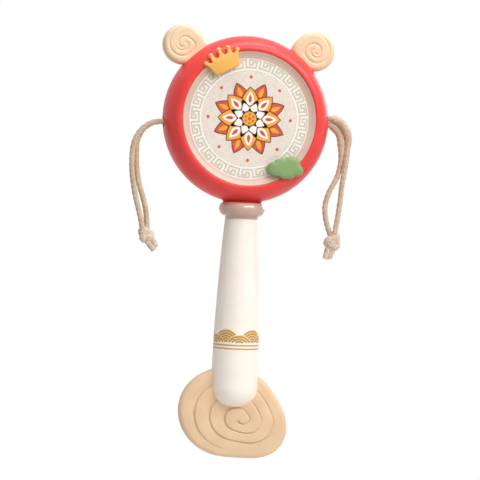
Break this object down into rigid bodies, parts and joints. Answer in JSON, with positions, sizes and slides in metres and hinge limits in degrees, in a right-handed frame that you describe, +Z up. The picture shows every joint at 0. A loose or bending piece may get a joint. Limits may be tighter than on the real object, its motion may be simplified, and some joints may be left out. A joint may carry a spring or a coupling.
{
  "type": "pellet drum rattle",
  "caption": "Hand-twirled toy drum on a tapered handle, with knotted cords that swing out to beat its faces, spiral ears, raised badges and an egg-shaped swirl foot.",
  "frame": {"origin": "on the handle's axis in the middle of the grip, where a hand holds the toy", "axes": "+Z up the handle to the drum, -Y out of the front face with the badges, +X to the right seen from the front"},
  "size_m": [0.1203, 0.0304, 0.2317],
  "materials": {
    "red_plastic": "satin moulded plastic",
    "taupe_plastic": "satin moulded plastic",
    "beige_plastic": "soft matt moulded plastic",
    "white_plastic": "glossy moulded plastic with gold ink",
    "printed_sheet": "printed sheet",
    "yellow_plastic": "satin moulded plastic",
    "green_plastic": "satin moulded plastic",
    "cotton_cord": "braided natural cotton",
    "screw_steel": "plated steel"
  },
  "bodies": {
    "drum_and_handle": {"front_shell": "red_plastic", "rear_shell": "red_plastic", "front_bezel": "taupe_plastic", "rear_bezel": "taupe_plastic", "front_drumhead": "printed_sheet", "rear_drumhead": "printed_sheet", "crown_badge": "yellow_plastic", "cloud_badge": "green_plastic", "left_ear": "beige_plastic", "right_ear": "beige_plastic", "neck_collar": "taupe_plastic", "handle_front_half": "white_plastic", "handle_rear_half": "white_plastic", "foot_plate": "beige_plastic", "drum_screws": "screw_steel", "handle_screws": "screw_steel", "cord_inner_run": "cotton_cord"},
    "left_neck": {"left_cord_neck": "cotton_cord"},
    "left_striker": {"left_cord_front_strand": "cotton_cord", "left_cord_back_strand": "cotton_cord", "left_cord_knot": "cotton_cord"},
    "right_neck": {"right_cord_neck": "cotton_cord"},
    "right_striker": {"right_cord_front_strand": "cotton_cord", "right_cord_back_strand": "cotton_cord", "right_cord_knot": "cotton_cord"}
  },
  "joints": [
    {"name": "left_twirl", "type": "hinge", "parent": "drum_and_handle", "child": "left_neck", "pos_m": [-0.0468, 0, 0.0918], "axis": [0, 0, 1], "range_deg": [-75, 75], "deforming": ["left_cord_neck"]},
    {"name": "left_lift", "type": "hinge", "parent": "left_neck", "child": "left_striker", "pos_m": [-0.0569, 0, 0.085], "axis": [0, 1, 0], "range_deg": [-20, 100], "deforming": ["left_cord_neck"]},
    {"name": "right_twirl", "type": "hinge", "parent": "drum_and_handle", "child": "right_neck", "pos_m": [0.0468, 0, 0.0961], "axis": [0, 0, 1], "range_deg": [-75, 75], "deforming": ["right_cord_neck"]},
    {"name": "right_lift", "type": "hinge", "parent": "right_neck", "child": "right_striker", "pos_m": [0.0542, 0, 0.09], "axis": [0, -1, 0], "range_deg": [-20, 100], "deforming": ["right_cord_neck"]}
  ]
}
